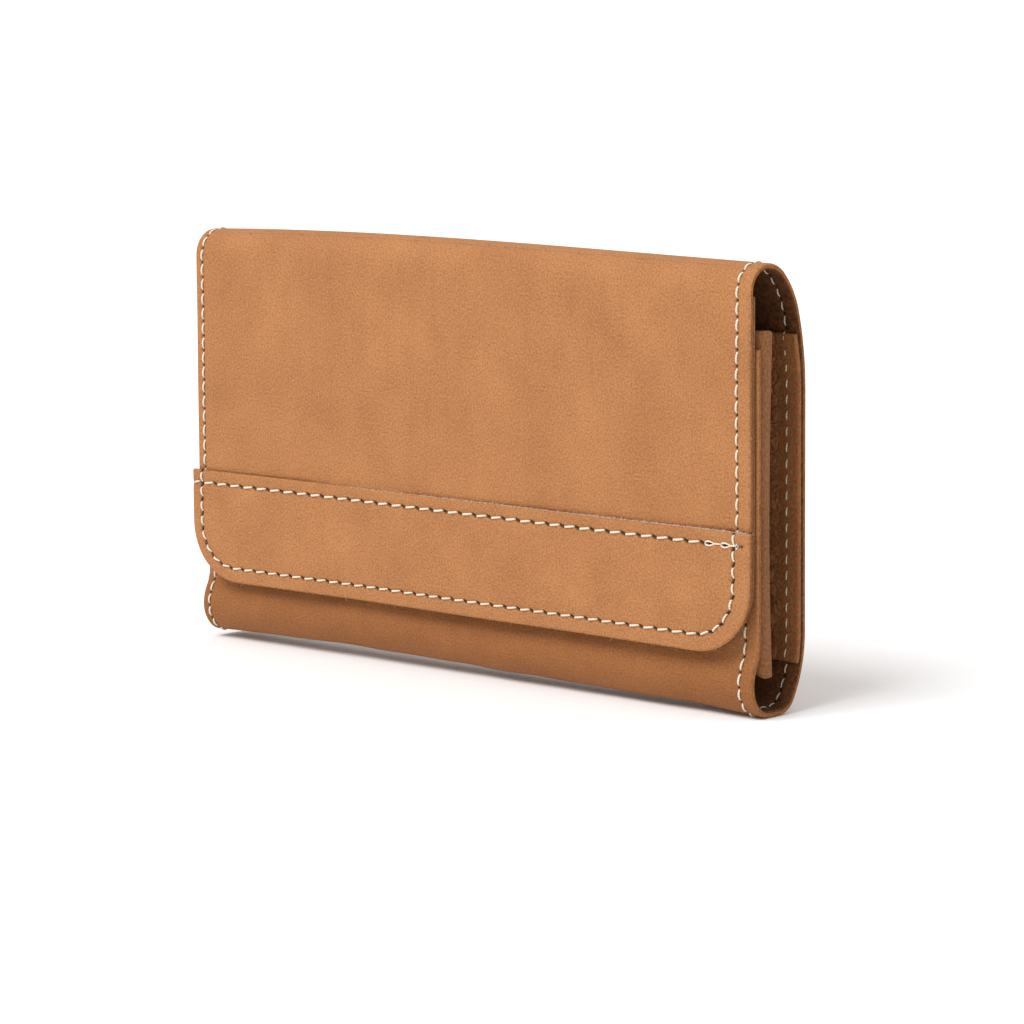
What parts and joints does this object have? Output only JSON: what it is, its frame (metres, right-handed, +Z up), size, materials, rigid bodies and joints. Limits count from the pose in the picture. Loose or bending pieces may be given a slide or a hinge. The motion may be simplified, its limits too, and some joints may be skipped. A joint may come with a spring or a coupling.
{
  "type": "long wallet",
  "caption": "Long leather wallet with a fold-over flap, a sewn band over the flap's lower end, side gussets, card slots and a zipped coin pocket.",
  "frame": {"origin": "The middle of the flat that the bottom fold stands on, at the bottom centre of the closed wallet's bounding box.", "axes": "+X runs along the wallet to its right end as seen from the front, -Y is the way the flap and its band face, +Y is the back and +Z is up to the top fold. The rest pose is the closed wallet."},
  "size_m": [0.18, 0.021, 0.102],
  "materials": {
    "cover_leather": "matt tan pull-up leather with a fine grain",
    "lining_leather": "plain brown leather, a little smoother",
    "gusset_leather": "soft brown leather, creased at the folds",
    "thread": "waxed cream thread",
    "cotton": "woven cotton bag cloth",
    "zip_tape": "woven zip tape",
    "zip_metal": "satin brass",
    "magnet": "plated discs"
  },
  "bodies": {
    "back": {"cover_back": "cover_leather", "back_seam": "thread", "gusset_left": "gusset_leather", "gusset_right": "gusset_leather", "back_lining": "lining_leather", "slip_pocket": "lining_leather", "card_slot_1": "lining_leather", "card_slot_2": "lining_leather", "card_slot_3": "lining_leather", "ticket_pocket": "lining_leather"},
    "front": {"cover_front": "cover_leather", "front_seam": "thread", "front_magnets": "magnet", "front_lining": "lining_leather", "coin_bag": "cotton", "zip_tape_upper": "zip_tape", "zip_tape_lower": "zip_tape", "zip_teeth_upper": "zip_metal", "zip_teeth_lower": "zip_metal", "zip_stops": "zip_metal"},
    "spine_rear": {"spine_rear": "cover_leather", "spine_rear_seam": "thread"},
    "spine_front": {"spine_front": "cover_leather", "spine_front_seam": "thread"},
    "flap": {"flap_leather": "cover_leather", "flap_band": "cover_leather", "flap_lining": "lining_leather", "flap_magnets": "magnet", "flap_seam": "thread", "band_top_seam": "thread"},
    "slider": {"zip_slider": "zip_metal"},
    "pull": {"zip_pull": "zip_metal"}
  },
  "joints": [
    {"name": "spine_rear_bend", "type": "hinge", "parent": "back", "child": "spine_rear", "pos_m": [0, 0.00619, 0.09537], "axis": [-1, 0, 0], "range_deg": [0, 60]},
    {"name": "spine_front_bend", "type": "hinge", "parent": "spine_rear", "child": "spine_front", "pos_m": [0, -0.00299, 0.102], "axis": [-1, 0, 0], "range_deg": [0, 60]},
    {"name": "flap_bend", "type": "hinge", "parent": "spine_front", "child": "flap", "pos_m": [0, -0.00849, 0.09882], "axis": [-1, 0, 0], "range_deg": [0, 60]},
    {"name": "front_open", "type": "hinge", "parent": "back", "child": "front", "pos_m": [0, -0.0064, 0.00161], "axis": [1, 0, 0], "range_deg": [0, 14], "deforming": ["gusset_left", "gusset_right"]},
    {"name": "zip_slide", "type": "slide", "parent": "front", "child": "slider", "axis": [-1, 0, 0], "range_m": [0, 0.116]},
    {"name": "pull_swing", "type": "hinge", "parent": "slider", "child": "pull", "pos_m": [0.058, -0.00195, 0.072], "axis": [0, 1, 0], "range_deg": [-80, 80]}
  ],
  "couplings": [
    {"joint": "spine_rear_bend", "follows": "flap_bend", "ratio": 1},
    {"joint": "spine_front_bend", "follows": "flap_bend", "ratio": 1},
    {"joint": "front_open", "follows": "flap_bend", "ratio": 0.2333}
  ]
}
